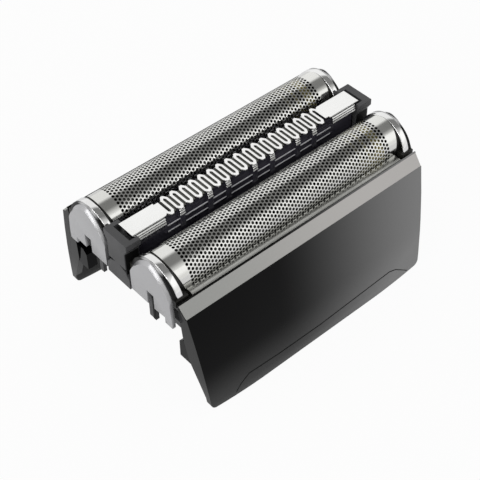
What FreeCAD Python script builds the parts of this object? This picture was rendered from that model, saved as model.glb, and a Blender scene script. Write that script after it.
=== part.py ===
import FreeCAD, Part
import math
import os

from FreeCAD import Vector

# Shaver foil head: a shaving cassette with two sprung foils and a sprung comb trimmer between them.
# Frame: X runs along the foils, -Y is the front, +Z is up, and the covers stand on the plane Z = 0.

# Spine and foil spacing across the head
spine_outer_y = 2.05
unit_gap = 0.43
foil_radius = 3.85
bar_width = 1.0
outer_bar_extra = 0.12
lip_gap = 0.45

# Covers
cover_length = 47.0
cover_end_slant = 1.55
lip_height = 21.1
lip_width = 0.2
lip_depth = 1.9
shoulder_run = 1.55
shoulder_drop = 1.81
cover_flare = 3.0
cover_bulge = 0.34
cover_wall = 1.1
cover_flat_length = 24.0
cover_corner_lift = 0.8
cover_corner_radius = 1.1
end_rib_length = 1.2
end_rib_depth = 6.9
rib_slope = 5.1
rib_slope_run = 0.6
rib_waist_reach = 1.2
lug_length = 2.5
lug_end_setback = 0.4
lug_reach = 1.55
lug_top_drop = 8.9
lug_height = 4.0
lug_chamfer = 0.8
lug_root = 0.6
lug_root_flare = 0.4
latch_length = 7.0
latch_height = 2.6
latch_drop = 14.4
latch_wall = 0.8
latch_cheek_depth = 1.9
latch_ledge_depth = 2.2

# Silver band let into the shoulder of each cover
band_thickness = 0.3
band_margin = 0.1
band_end_setback = 0.08

# Foil units
foil_axis_rise = 0.25
foil_wall = 0.15
foil_end_taper = 1.12
foil_seat_depth = 0.21
foil_seat_gap = 0.02
foil_skirt_depth = 2.85
window_rows = 5
window_columns = 15
window_length = 1.7
window_arc = 1.05
window_row_angle = 27.0
window_end_margin = 3.23
bar_top_drop = 0.6
bar_height = 2.15
rail_height = 0.5
block_length = 1.45
block_side_wall = 0.55
block_bottom_drop = 3.9
flange_length = 0.35
shoulder_width = 1.2
shoulder_top = 0.2
shoulder_height = 1.1
shoulder_start = 0.6
web_length = 0.85
web_side_setback = 0.4
ring_length = 1.05
ring_overhang = 1.25
ring_wall = 0.5
ring_axis_drop = 0.46
cap_end_setback = 0.05
cap_thickness = 0.6
cap_side_setback = 0.7
cap_top_margin = 0.16
cap_axis_drop = 0.5
cap_bevel = 0.45
cap_inner_leg_drop = 4.3
cap_outer_leg_drop = 4.1
cap_foot_drop = 5.2
cap_foot_width = 1.6
cap_foot_height = 1.4
cap_foot_overhang = 0.3
cap_slot_width = 1.5
cap_slot_drop = 1.7
stop_lug_length = 3.0
stop_lug_setback = 8.6
stop_lug_reach = 0.3
stop_gap = 0.08
stop_lug_height = 0.75
ledge_length = 1.7
ledge_half_width = 2.0
ledge_top_drop = 3.0

# Cutters inside the foils
blade_gap = 0.08
blade_wall = 0.55
blade_sides = 12
blade_count = 22
blade_thickness = 0.7
blade_slot_angle = 62.0
end_blade_extra = 0.82
cutter_end_gap = 2.0
cutter_seat_drop = 0.6
cutter_shelf_height = 0.8
cutter_shelf_setback = 0.1
cutter_fin_half_width = 0.5
cutter_fin_rise = 1.6
cutter_fin_setback = 1.0
cutter_carrier_setback = 1.2
cutter_carrier_half_width = 2.3
cutter_carrier_bottom_drop = 6.3
cutter_carrier_rib = 1.2
cutter_carrier_wall = 0.8
cutter_tongue_half_width = 1.6
cutter_tongue_height = 1.1
cutter_tongue_overlap = 0.3
drive_slot_length = 5.0
drive_slot_width = 2.4
drive_slot_depth = 3.8
running_gap = 0.05

# Frame
frame_gap = 0.3
float_travel = 1.0
riser_overhang = 0.6
riser_setback = 2.0
riser_end_wall = 1.25
riser_top = 3.79
riser_flange_reach = 0.63
riser_flange_bottom = 2.77
riser_neck_gap = 0.26
riser_neck_top = 1.76
riser_neck_bottom = -2.3
riser_foot_top = -2.9
riser_bottom = -4.8
riser_recess_bottom = 2.4
pocket_side_gap = 0.25
pocket_top = 1.0
notch_depth = 1.5
notch_height = 1.1
notch_cut = 0.7
notch_tip_drop = 1.3
end_bar_gap = 0.3
end_bar_thickness = 0.6
end_bar_top = -3.4
end_bar_bottom = -6.0
post_setback = 0.33
post_width = 1.5
post_top = -2.4
post_bottom = -8.4
spine_wall = 0.35
spine_top = -1.0
spine_floor_top = -5.9
spine_floor_thickness = 0.9
spine_drive_length = 6.0
crossbar_setback = 2.3
crossbar_length = 1.3
crossbar_height = 1.1
crossbar_lug_overlap = 1.6

# Trimmer between the foils
trimmer_top = 4.0
sheet_thickness = 0.2
turn_count = 18
serpentine_gap = 0.53
leg_width = 0.5
tip_half_width = 1.92
tab_half_width_y = 1.66
turn_shoulder_y = 1.35
turn_slot_end = 1.15
turn_slot_point = 0.25
tip_flat = 0.22
tab_width = 1.0
tab_height = 1.0
tab_offset = 0.2
tab_wave = 0.12
panel_length = 6.05
panel_end_gap = 0.7
panel_half_width = 1.6
panel_side_gap = 0.25
panel_step = 0.05
panel_flange_gap = 0.2
panel_flange_setback = 0.3
panel_flange_height = 1.3
panel_flange_reach = 0.35
panel_flange_wave = 0.1
panel_flange_waves = 3
front_tabs = (2, 5, 7, 10, 12, 15, 17)
trimmer_blade_thickness = 0.3
trimmer_blade_half_width = 1.5
trimmer_blade_end_gap = 0.6
tooth_slot_width = 0.7
tooth_slot_depth = 0.6
carrier_half_width = 1.35
carrier_end_gap = 0.3
carrier_bottom = -3.2
carrier_pad_setback = 0.5
rib_reach = 1.95
rib_width = 0.9
rib_top_gap = 0.15
rib_bottom = 0.4
ridge_reach = 1.72
ridge_height = 0.2
ridge_levels = (1.95, 0.75)
tongue_half_width = 0.95
tongue_end_gap = 0.25
slider_half_length = 1.0
slider_half_width = 0.5
slider_bottom = -5.2
slider_foot_height = 2.2
slider_foot_half_length = 0.6
slider_stroke = 1.0

# Springs
spring_half_width = 0.6
spring_half_length = 0.5
spring_leaf = 0.16
trimmer_spring_setback = 4.6

# Overlap of solids that are fused, and the reach of a cutting tool past what it cuts
merge = 0.2
tool_reach = 1.0

# Places across the head that follow from the sizes above
foil_axis_y = spine_outer_y + unit_gap + bar_width + foil_radius
lip_inner_y = foil_axis_y + foil_radius + bar_width + outer_bar_extra + lip_gap
shoulder_y = lip_inner_y + lip_width + shoulder_run
cover_foot_y = shoulder_y + cover_flare
lug_inner_y = lip_inner_y - lug_reach
ring_radius = foil_radius + ring_overhang
cap_half_width = ring_radius - cap_side_setback
cap_rise = ring_radius - ring_axis_drop + cap_axis_drop + cap_top_margin
block_half_width = foil_radius + block_side_wall
post_outer_y = foil_axis_y - post_setback
post_inner_y = post_outer_y - post_width
riser_neck_half_width = foil_axis_y - ring_radius - riser_neck_gap
riser_flange_half_width = riser_neck_half_width + riser_flange_reach
riser_recess_half_width = panel_half_width + panel_side_gap
pocket_half_width = tongue_half_width + pocket_side_gap
pocket_bottom = carrier_bottom - float_travel - frame_gap

# Places along the head, from the ends of the covers inwards
cover_end_x = cover_length / 2
cover_foot_length = cover_length - 2 * cover_end_slant
cap_back_x = cover_end_x - cap_end_setback
cap_face_x = cap_back_x + cap_thickness
flange_outer_x = cap_back_x - ring_length
block_outer_x = flange_outer_x - flange_length
block_inner_x = block_outer_x - block_length
foil_foot_x = block_inner_x + foil_seat_depth
foil_length = 2 * (foil_foot_x + foil_end_taper)
window_pitch = (foil_length - 2 * window_end_margin - window_length) / (window_columns - 1)
stop_lug_x = block_inner_x - stop_lug_setback
ledge_inner_x = block_inner_x - ledge_length
cutter_half_length = block_inner_x - cutter_end_gap
cutter_carrier_half_length = cutter_half_length - cutter_carrier_setback
cutter_tongue_end_x = ledge_inner_x + cutter_tongue_overlap
blade_row = 2 * (cutter_half_length - end_blade_extra) - blade_thickness
blade_pitch = blade_row / (blade_count - 1)
riser_outer_x = cover_end_x + riser_overhang
riser_inner_x = cover_end_x - riser_setback
riser_recess_x = riser_outer_x - riser_end_wall
end_bar_outer_x = cap_back_x - end_bar_gap
end_bar_inner_x = end_bar_outer_x - end_bar_thickness
crossbar_outer_x = cover_end_x - crossbar_setback
crossbar_inner_x = crossbar_outer_x - crossbar_length
panel_end_x = riser_recess_x - panel_end_gap
panel_corner_x = panel_end_x - panel_length
panel_flange_end_x = riser_inner_x - panel_flange_gap
panel_flange_start_x = panel_corner_x + panel_flange_setback
turn_pitch = 2 * (panel_corner_x - serpentine_gap) / turn_count
carrier_end_x = riser_inner_x - carrier_end_gap
carrier_pad_start_x = panel_corner_x + carrier_pad_setback
tongue_end_x = riser_recess_x - tongue_end_gap
trimmer_blade_half_length = carrier_pad_start_x - slider_stroke - trimmer_blade_end_gap
trimmer_spring_x = carrier_pad_start_x - trimmer_spring_setback

# Heights
lip = lip_height
foil_z = lip + foil_axis_rise
foil_bore = foil_radius - foil_wall
bar_top = lip - bar_top_drop
bar_bottom = bar_top - bar_height
block_bottom = lip - block_bottom_drop
cutter_seat = lip - cutter_seat_drop
comb_underside = lip + trimmer_top - sheet_thickness
trimmer_blade_top = comb_underside - running_gap
trimmer_blade_bottom = trimmer_blade_top - trimmer_blade_thickness
carrier_top = trimmer_blade_bottom - running_gap
crossbar_bottom = lip - lug_top_drop
crossbar_top = crossbar_bottom + crossbar_height
spine_floor = lip + spine_floor_top
first_turn_x = -(turn_count - 1) * turn_pitch / 2 - turn_pitch / 4
slot_half = turn_pitch / 4 - leg_width / 2
leg_edge = turn_pitch / 4 + leg_width / 2


def box(x0, x1, y0, y1, z0, z1):
    return Part.makeBox(x1 - x0, y1 - y0, z1 - z0, Vector(x0, y0, z0))


def prism_x(points, x0, x1):
    """Extrude a polygon given as (y, z) points along X."""
    ring = [Vector(x0, y, z) for y, z in points]
    return Part.Face(Part.makePolygon(ring + ring[:1])).extrude(Vector(x1 - x0, 0, 0))


def prism_y(points, y0, y1):
    """Extrude a polygon given as (x, z) points along Y."""
    ring = [Vector(x, y0, z) for x, z in points]
    return Part.Face(Part.makePolygon(ring + ring[:1])).extrude(Vector(0, y1 - y0, 0))


def prism_z(points, z0, z1):
    """Extrude a polygon given as (x, y) points along Z."""
    ring = [Vector(x, y, z0) for x, y in points]
    return Part.Face(Part.makePolygon(ring + ring[:1])).extrude(Vector(0, 0, z1 - z0))


def fuse(shapes):
    first = shapes[0]
    return first.fuse(shapes[1:]).removeSplitter() if len(shapes) > 1 else first


def mirror_x(shape):
    return shape.mirror(Vector(0, 0, 0), Vector(1, 0, 0))


def mirror_y(shape):
    return shape.mirror(Vector(0, 0, 0), Vector(0, 1, 0))


def arc_x(x, start, middle, end):
    """Arc in a plane of constant X through three (y, z) points."""
    return Part.Arc(Vector(x, *start), Vector(x, *middle), Vector(x, *end)).toShape()


def line_x(x, start, end):
    return Part.LineSegment(Vector(x, *start), Vector(x, *end)).toShape()


# Covers, built as the rear one

def shoulder_frame():
    """Top and bottom of the shoulder with its unit directions along and out of it."""
    top = Vector(0, lip_inner_y + lip_width, lip)
    bottom = Vector(0, shoulder_y, lip - shoulder_drop)
    along = (bottom - top).normalize()
    outward = Vector(0, -along.z, along.y)
    return top, bottom, along, outward


def band_outline():
    top, bottom, along, outward = shoulder_frame()
    outer_top = top + along * band_margin
    outer_bottom = bottom - along * band_margin / 2
    inner_bottom = outer_bottom - outward * band_thickness
    inner_top = outer_top - outward * band_thickness
    return [outer_top, outer_bottom, inner_bottom, inner_top]


def wall_arc_points(inset):
    """Three points on the flared wall, moved inwards by the inset."""
    top = Vector(0, shoulder_y - inset, lip - shoulder_drop)
    bottom = Vector(0, cover_foot_y - inset, 0)
    chord = bottom - top
    bulge = Vector(0, -chord.z, chord.y).normalize() * cover_bulge
    return top, (top + bottom) * 0.5 + bulge, bottom


def cover_trim():
    """Side outline of a cover: slanted ends and a foot that lifts towards its rounded corners."""
    half_top = cover_end_x
    half_foot = cover_foot_length / 2
    half_flat = cover_flat_length / 2
    lift_middle = ((half_flat + half_foot) / 2, cover_corner_lift * 0.3)

    def at(x, z):
        return Vector(x, 0, z)

    edges = [
        Part.makeLine(at(-half_top, lip), at(half_top, lip)),
        Part.makeLine(at(half_top, lip), at(half_foot, cover_corner_lift)),
        Part.Arc(at(half_foot, cover_corner_lift), at(*lift_middle), at(half_flat, 0)).toShape(),
        Part.makeLine(at(half_flat, 0), at(-half_flat, 0)),
        Part.Arc(at(-half_flat, 0), at(-lift_middle[0], lift_middle[1]),
                 at(-half_foot, cover_corner_lift)).toShape(),
        Part.makeLine(at(-half_foot, cover_corner_lift), at(-half_top, lip)),
    ]
    reach = cover_foot_y + cover_bulge + tool_reach
    solid = Part.Face(Part.Wire(edges)).extrude(Vector(0, reach, 0))
    corners = [edge for edge in solid.Edges
               if edge.Length > cover_foot_y and abs(edge.Vertexes[0].Z - cover_corner_lift) < 1e-6]
    return solid.makeFillet(cover_corner_radius, corners)


def make_cover():
    half = cover_end_x
    outer = wall_arc_points(0)
    inner = wall_arc_points(cover_wall)
    top, bottom, along, outward = shoulder_frame()
    groove = band_outline()
    lip_bottom = lip - lip_depth
    inner_start = Vector(0, shoulder_y - cover_wall, lip_bottom)
    path = [Vector(0, lip_inner_y, lip), top, groove[0], groove[3], groove[2], groove[1], bottom]
    edges = [Part.makeLine(a, b) for a, b in zip(path, path[1:])]
    edges.append(Part.Arc(outer[0], outer[1], outer[2]).toShape())
    edges.append(Part.makeLine(outer[2], inner[2]))
    edges.append(Part.Arc(inner[2], inner[1], inner_start).toShape())
    edges.append(Part.makeLine(inner_start, Vector(0, lip_inner_y, lip_bottom)))
    edges.append(Part.makeLine(Vector(0, lip_inner_y, lip_bottom), Vector(0, lip_inner_y, lip)))
    shell = Part.Face(Part.Wire(edges)).extrude(Vector(cover_length, 0, 0))
    shell.translate(Vector(-half, 0, 0))

    # end ribs that close the shell behind its slanted ends
    rib_points = [
        (lip_inner_y, lip - lip_depth),
        (lip_inner_y, lip - end_rib_depth),
        (lip_inner_y + rib_slope_run, lip - end_rib_depth - rib_slope),
        (cover_foot_y - cover_wall, cover_corner_lift + cover_wall),
        (cover_foot_y - cover_wall / 2, cover_corner_lift + cover_wall),
        (shoulder_y + rib_waist_reach, lip / 2),
        (shoulder_y - cover_wall / 2, lip - lip_depth),
    ]
    rib = prism_x(rib_points, half - end_rib_length - cover_end_slant, half)
    foot = cover_foot_length / 2
    lean = prism_y([(half, lip), (foot, 0), (foot - end_rib_length, 0),
                    (half - end_rib_length, lip)], 0, cover_foot_y + tool_reach)
    rib = rib.common(lean)

    # latch lug that carries the frame's crossbar
    lug_end = half - cover_end_slant * lug_top_drop / lip - lug_end_setback
    lug_z = lip - lug_top_drop
    lug_back = shoulder_y + lug_root
    lug_points = [
        (lug_inner_y, lug_z - lug_chamfer),
        (lug_inner_y + lug_chamfer, lug_z),
        (lug_back, lug_z),
        (lug_back + lug_root_flare, lug_z - lug_height),
        (lug_inner_y, lug_z - lug_height),
    ]
    lug = prism_x(lug_points, lug_end - lug_length, lug_end)

    # ledge and cheeks on the inside that the shaver's release catch hooks
    root = shoulder_y - cover_wall - merge / 2
    half_latch = latch_length / 2
    latch_z = lip - latch_drop
    ledge = box(-half_latch - latch_wall, half_latch + latch_wall, root,
                root + latch_ledge_depth + merge / 2, latch_z - latch_wall, latch_z)
    cheek = box(half_latch, half_latch + latch_wall, root,
                root + latch_cheek_depth + merge / 2, latch_z, latch_z + latch_height)
    catch = fuse([ledge, cheek, mirror_x(cheek)])
    cover = fuse([shell, rib, mirror_x(rib), lug, mirror_x(lug), catch])
    return cover.common(cover_trim())


def make_band():
    half = cover_end_x - band_end_setback
    drop = shoulder_drop
    outline = [(point.y, point.z) for point in band_outline()]
    band = prism_x(outline, -half, half)
    lower = half - cover_end_slant * drop / lip
    trim = prism_y([(-half, lip), (half, lip), (lower, lip - drop), (-lower, lip - drop)],
                   0, cover_foot_y)
    return band.common(trim)


# Foil units, built as the rear one

def unit_y(offset):
    """World Y of a place given from the foil axis, outwards positive."""
    return foil_axis_y + offset


def arch_face(x, radius, foot_z, axis_z):
    """Round-topped face with straight sides down to foot_z."""
    left = (unit_y(-radius), axis_z)
    top = (unit_y(0), axis_z + radius)
    right = (unit_y(radius), axis_z)
    foot_right = (unit_y(radius), foot_z)
    foot_left = (unit_y(-radius), foot_z)
    edges = [
        arc_x(x, left, top, right),
        line_x(x, right, foot_right),
        line_x(x, foot_right, foot_left),
        line_x(x, foot_left, left),
    ]
    return Part.Face(Part.Wire(edges))


def make_foil():
    half = foil_length / 2
    foot = lip - foil_skirt_depth
    outer = arch_face(-half, foil_radius, foot, foil_z).extrude(Vector(foil_length, 0, 0))
    inner = arch_face(-half, foil_bore, foot, foil_z).extrude(Vector(foil_length, 0, 0))
    sheet = outer.cut(inner)
    narrow = half - foil_end_taper
    top = foil_z + foil_radius
    low = foot - tool_reach
    trim = prism_y([(-half, top), (half, top), (narrow, foil_z), (narrow, low),
                    (-narrow, low), (-narrow, foil_z)],
                   unit_y(-foil_radius - tool_reach), unit_y(foil_radius + tool_reach))
    sheet = sheet.common(trim)
    cutters = []
    for row in range(window_rows):
        angle = (row - (window_rows - 1) / 2) * window_row_angle
        shift = window_pitch / 2 if row % 2 else 0
        count = window_columns - 1 if row % 2 else window_columns
        first = -(window_columns - 1) * window_pitch / 2 + shift
        for column in range(count):
            cutters.append(window_tool(first + column * window_pitch, angle))
    return sheet.cut(cutters)


def window_tool(x, angle):
    """Six-sided punch through the foil, pointing along the radius at the given angle."""
    half_x = window_length / 2
    half_y = window_arc / 2
    points = [(-half_x, 0), (-half_x / 2, half_y), (half_x / 2, half_y),
              (half_x, 0), (half_x / 2, -half_y), (-half_x / 2, -half_y)]
    punch = prism_z([(x + px, py) for px, py in points], foil_bore - tool_reach,
                    foil_radius + tool_reach)
    punch.rotate(Vector(0, 0, 0), Vector(1, 0, 0), angle)
    punch.translate(Vector(0, foil_axis_y, foil_z))
    return punch


def make_foil_frame():
    """Plastic frame: two side bars, two arched end blocks, cutter ledges and stop lugs."""
    outer_reach = foil_radius + bar_width + outer_bar_extra
    pieces = [
        box(-block_inner_x, block_inner_x, unit_y(foil_radius), unit_y(outer_reach),
            bar_bottom, bar_top),
        box(-block_inner_x, block_inner_x, unit_y(-foil_radius - bar_width),
            unit_y(-foil_radius), bar_bottom, bar_top),
    ]
    lug_top = lip - lip_depth - stop_gap
    for side in (-1, 1):
        centre = side * stop_lug_x
        pieces.append(box(centre - stop_lug_length / 2, centre + stop_lug_length / 2,
                          unit_y(outer_reach) - merge, lip_inner_y + stop_lug_reach,
                          lug_top - stop_lug_height, lug_top))
        end = make_frame_end()
        pieces.append(end if side > 0 else mirror_x(end))
    return fuse(pieces)


def make_frame_end():
    arch = arch_face(block_inner_x, foil_bore, lip - shoulder_height, foil_z)
    arch = arch.extrude(Vector(flange_outer_x - block_inner_x, 0, 0))
    body = box(block_inner_x, block_outer_x, unit_y(-block_half_width), unit_y(block_half_width),
               block_bottom, bar_top)
    slot_end = foil_foot_x + foil_seat_gap
    slots = fuse([
        box(block_inner_x - merge, slot_end, unit_y(foil_bore), unit_y(foil_radius),
            lip - foil_skirt_depth, lip),
        box(block_inner_x - merge, slot_end, unit_y(-foil_radius), unit_y(-foil_bore),
            lip - foil_skirt_depth, lip),
    ])
    ledge = box(ledge_inner_x, block_inner_x + merge, unit_y(-ledge_half_width),
                unit_y(ledge_half_width), block_bottom, lip - ledge_top_drop)
    shoulders = []
    for side in (-1, 1):
        near = side * (ring_radius - shoulder_width)
        far = side * ring_radius
        shoulders.append(box(block_inner_x + shoulder_start, cap_back_x, unit_y(min(near, far)),
                             unit_y(max(near, far)), lip + shoulder_top - shoulder_height,
                             lip + shoulder_top))
    web_reach = ring_radius - web_side_setback
    web = box(flange_outer_x - web_length, flange_outer_x, unit_y(-web_reach),
              unit_y(web_reach), lip + shoulder_top - shoulder_height, lip + shoulder_top)
    return fuse([arch, body, ledge, web] + shoulders).cut(slots)


def make_rail(outer):
    """Bright rail on top of a side bar."""
    reach = foil_radius + bar_width + (outer_bar_extra if outer else 0)
    near = foil_radius if outer else -reach
    far = reach if outer else -foil_radius
    return box(-block_inner_x, block_inner_x, unit_y(near), unit_y(far),
               bar_top, bar_top + rail_height)


def make_ring():
    """Chromed arch between a foil end and its cap."""
    axis_z = lip - ring_axis_drop
    seat = lip + shoulder_top
    width = cap_back_x - flange_outer_x
    foot = axis_z - tool_reach
    outer = arch_face(flange_outer_x, ring_radius, foot, axis_z).extrude(Vector(width, 0, 0))
    inner = arch_face(flange_outer_x, ring_radius - ring_wall, foot, axis_z)
    inner = inner.extrude(Vector(width, 0, 0))
    reach = ring_radius + tool_reach
    keep = box(flange_outer_x - tool_reach, cap_back_x + tool_reach, unit_y(-reach),
               unit_y(reach), seat, axis_z + reach)
    return outer.cut(inner).common(keep)


def make_cap():
    """Moulded end cap: bevelled arch top, two legs, a foot and the guide slot between the legs."""
    axis_z = lip - cap_axis_drop
    foot_y = unit_y(cap_half_width + cap_foot_overhang)
    side = unit_y(cap_half_width)
    slot_in = unit_y(-cap_slot_width / 2)
    slot_out = unit_y(cap_slot_width / 2)
    slot_top = lip - cap_slot_drop
    arch = Part.Ellipse(Vector(cap_back_x, unit_y(0), axis_z + cap_rise),
                        Vector(cap_back_x, side, axis_z),
                        Vector(cap_back_x, unit_y(0), axis_z))
    left = Vector(cap_back_x, unit_y(-cap_half_width), axis_z)
    right = Vector(cap_back_x, side, axis_z)
    crown = None
    for start, end in ((0, math.pi), (-math.pi / 2, math.pi / 2)):
        candidate = arch.toShape(start, end)
        if candidate.CenterOfMass.z > axis_z and abs(candidate.CenterOfMass.y - unit_y(0)) < 0.01:
            crown = candidate
    path = [
        (side, axis_z),
        (foot_y, lip - cap_foot_drop + cap_foot_height),
        (foot_y, lip - cap_foot_drop),
        (foot_y - cap_foot_width, lip - cap_foot_drop),
        (foot_y - cap_foot_width, lip - cap_outer_leg_drop),
        (slot_out, lip - cap_inner_leg_drop),
        (slot_out, slot_top),
        (slot_in, slot_top),
        (slot_in, lip - cap_inner_leg_drop),
        (unit_y(-cap_half_width), lip - cap_inner_leg_drop),
        (unit_y(-cap_half_width), axis_z),
    ]
    edges = [crown]
    for start, end in zip(path, path[1:]):
        edges.append(line_x(cap_back_x, start, end))
    face = Part.Face(Part.Wire(Part.__sortEdges__(edges)))
    plate = face.extrude(Vector(cap_thickness, 0, 0))
    rims = [edge for edge in plate.Edges
            if abs(edge.CenterOfMass.x - cap_face_x) < 1e-6 and edge.CenterOfMass.z > axis_z]
    return plate.makeChamfer(cap_bevel, rims)


# Cutters, built as the rear one

def polygon_arch(radius):
    """Half-round outline of flats, ends at the level of the foil axis."""
    step = math.pi / blade_sides
    return [(unit_y(-radius * math.cos(k * step)), foil_z + radius * math.sin(k * step))
            for k in range(blade_sides + 1)]


def make_cutter_blades():
    """Cutter tunnel whose slots leave a row of arched blades between two side strips."""
    radius = foil_bore - blade_gap
    bore = radius - blade_wall
    outer = polygon_arch(radius)
    inner = polygon_arch(bore)
    seat_out = [(unit_y(radius), cutter_seat), (unit_y(bore), cutter_seat)]
    seat_in = [(unit_y(-bore), cutter_seat), (unit_y(-radius), cutter_seat)]
    tunnel = prism_x(outer + seat_out + inner[::-1] + seat_in,
                     -cutter_half_length, cutter_half_length)
    reach = (radius + tool_reach) * 1.2
    half_angle = math.radians(blade_slot_angle)
    wedge = [(unit_y(0), foil_z)]
    for part in (-1, -0.5, 0, 0.5, 1):
        wedge.append((unit_y(reach * math.sin(part * half_angle)),
                      foil_z + reach * math.cos(part * half_angle)))
    slots = []
    for index in range(blade_count - 1):
        middle = (index - (blade_count - 2) / 2) * blade_pitch
        half = (blade_pitch - blade_thickness) / 2
        slots.append(prism_x(wedge, middle - half, middle + half))
    return tunnel.cut(slots)


def make_cutter_carrier():
    """Plastic block under the blades with a drive slot from below and two running tongues."""
    shelf = foil_bore - blade_gap - cutter_shelf_setback
    tongue_bottom = lip - ledge_top_drop + running_gap
    fin_end = cutter_half_length - cutter_fin_setback
    pieces = [
        box(-cutter_half_length, cutter_half_length, unit_y(-shelf), unit_y(shelf),
            cutter_seat - cutter_shelf_height, cutter_seat),
        box(-cutter_carrier_half_length, cutter_carrier_half_length,
            unit_y(-cutter_carrier_half_width), unit_y(cutter_carrier_half_width),
            lip - cutter_carrier_bottom_drop, cutter_seat),
        box(-cutter_tongue_end_x, cutter_tongue_end_x, unit_y(-cutter_tongue_half_width),
            unit_y(cutter_tongue_half_width), tongue_bottom, tongue_bottom + cutter_tongue_height),
        box(-fin_end, fin_end, unit_y(-cutter_fin_half_width), unit_y(cutter_fin_half_width),
            cutter_seat, foil_z + cutter_fin_rise),
    ]
    body = fuse(pieces)
    bottom = lip - cutter_carrier_bottom_drop
    drive = box(-drive_slot_length / 2, drive_slot_length / 2, unit_y(-drive_slot_width / 2),
                unit_y(drive_slot_width / 2), bottom - tool_reach, bottom + drive_slot_depth)
    lightening = []
    for side in (-1, 1):
        middle = side * (drive_slot_length / 2 + cutter_carrier_half_length) / 2
        half = (cutter_carrier_half_length - drive_slot_length / 2) / 2 - cutter_carrier_rib
        hollow = cutter_carrier_half_width - cutter_carrier_wall
        lightening.append(box(middle - half, middle + half, unit_y(-hollow), unit_y(hollow),
                              bottom - tool_reach, bottom + drive_slot_depth))
    return body.cut([drive] + lightening)


# Frame that carries everything

def make_frame():
    bottom = lip + spine_floor_top - spine_floor_thickness
    pieces = []
    for side in (-1, 1):
        wall_in = side * (spine_outer_y - spine_wall)
        wall_out = side * spine_outer_y
        pieces.append(box(-riser_inner_x - merge, riser_inner_x + merge, min(wall_in, wall_out),
                          max(wall_in, wall_out), bottom, lip + spine_top))
    pieces.append(box(-crossbar_outer_x, crossbar_outer_x, -spine_outer_y, spine_outer_y,
                      bottom, spine_floor))
    for end in (-1, 1):
        riser = make_riser()
        pieces.append(riser if end > 0 else mirror_x(riser))
        inner = end * crossbar_inner_x
        outer = end * crossbar_outer_x
        lug_seat = lug_inner_y + crossbar_lug_overlap
        pieces.append(box(min(inner, outer), max(inner, outer), -lug_seat, lug_seat,
                          crossbar_bottom, crossbar_top))
        pieces.append(box(min(inner, outer), max(inner, outer), -spine_outer_y, spine_outer_y,
                          crossbar_bottom, bottom))
    frame = fuse(pieces)
    opening = box(-spine_drive_length / 2, spine_drive_length / 2,
                  -spine_outer_y + spine_wall, spine_outer_y - spine_wall,
                  bottom - tool_reach, spine_floor + tool_reach)
    return frame.cut(opening).removeSplitter()


def make_riser():
    """End wall with a C-shaped head, a guide pocket, the end bar and its two guide posts."""
    head = [(riser_flange_half_width, riser_top), (riser_flange_half_width, riser_flange_bottom),
            (riser_neck_half_width, riser_neck_top), (riser_neck_half_width, riser_neck_bottom),
            (riser_flange_half_width, riser_foot_top), (riser_flange_half_width, riser_bottom)]
    outline = head + [(-y, z) for y, z in reversed(head)]
    wall = prism_x([(y, lip + z) for y, z in outline], riser_inner_x, riser_outer_x)
    recess = box(riser_inner_x - tool_reach, riser_recess_x, -riser_recess_half_width,
                 riser_recess_half_width, lip + riser_recess_bottom,
                 lip + riser_top + tool_reach)
    pocket = box(riser_inner_x - tool_reach, riser_recess_x, -pocket_half_width, pocket_half_width,
                 lip + pocket_bottom, lip + pocket_top)
    notch_tip = lip - notch_tip_drop
    notches = []
    for side in (-1, 1):
        edge = side * (riser_neck_half_width + tool_reach)
        tip = side * (riser_neck_half_width - notch_depth)
        notches.append(prism_x([(edge, notch_tip), (tip, notch_tip), (edge, notch_tip - notch_height)],
                               riser_outer_x - notch_cut, riser_outer_x + tool_reach))
    wall = wall.cut([recess, pocket] + notches)
    bar = box(end_bar_inner_x, end_bar_outer_x, -post_outer_y, post_outer_y,
              lip + end_bar_bottom, lip + end_bar_top)
    pocket_clear = box(end_bar_inner_x - tool_reach, riser_recess_x, -pocket_half_width,
                       pocket_half_width, lip + pocket_bottom, lip + pocket_top)
    posts = []
    for side in (-1, 1):
        inner = side * post_inner_y
        outer = side * post_outer_y
        posts.append(box(end_bar_inner_x, end_bar_outer_x, min(inner, outer), max(inner, outer),
                         lip + post_bottom, lip + post_top))
    return fuse([wall, bar.cut(pocket_clear)] + posts)


# Trimmer

def turn_x(index, front):
    return first_turn_x + index * turn_pitch + (0 if front else turn_pitch / 2)


def is_tabbed(index, front):
    """The back row repeats the front row turned half round."""
    number = index + 1 if front else turn_count - index
    return number in front_tabs


def turn_outline(x, tabbed):
    """Outer outline of a turn, left to right, with the tip at positive height."""
    if tabbed:
        half = tab_width / 2
        return [(x - leg_edge, turn_shoulder_y), (x - half, tab_half_width_y),
                (x + half, tab_half_width_y), (x + leg_edge, turn_shoulder_y)]
    return [(x - leg_edge, turn_shoulder_y), (x - tip_flat, tip_half_width),
            (x + tip_flat, tip_half_width), (x + leg_edge, turn_shoulder_y)]


def slot_outline(x):
    """Pointed end of a slot that enters between two legs, left to right, from the open edge."""
    return [(x - slot_half, -turn_slot_end), (x, -turn_slot_end - turn_slot_point),
            (x + slot_half, -turn_slot_end)]


def comb_front_edge():
    """Front edge of the serpentine from left to right."""
    points = []
    for index in range(turn_count):
        x = turn_x(index, True)
        points += [(px, -py) for px, py in turn_outline(x, is_tabbed(index, True))]
        points += [(px, -py) for px, py in slot_outline(turn_x(index, False))]
    return points


def comb_outline():
    """The front edge, the right panel, the same turned half round, and the left panel."""
    front = comb_front_edge()
    right = [(front[-1][0], -turn_shoulder_y), (panel_corner_x, -turn_shoulder_y),
             (panel_corner_x, -panel_half_width), (panel_end_x, -panel_half_width)]
    left = [(-panel_end_x, -panel_half_width), (-panel_corner_x - panel_step, -panel_half_width)]
    half = left + front + right
    return half + [(-x, -y) for x, y in half]


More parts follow.
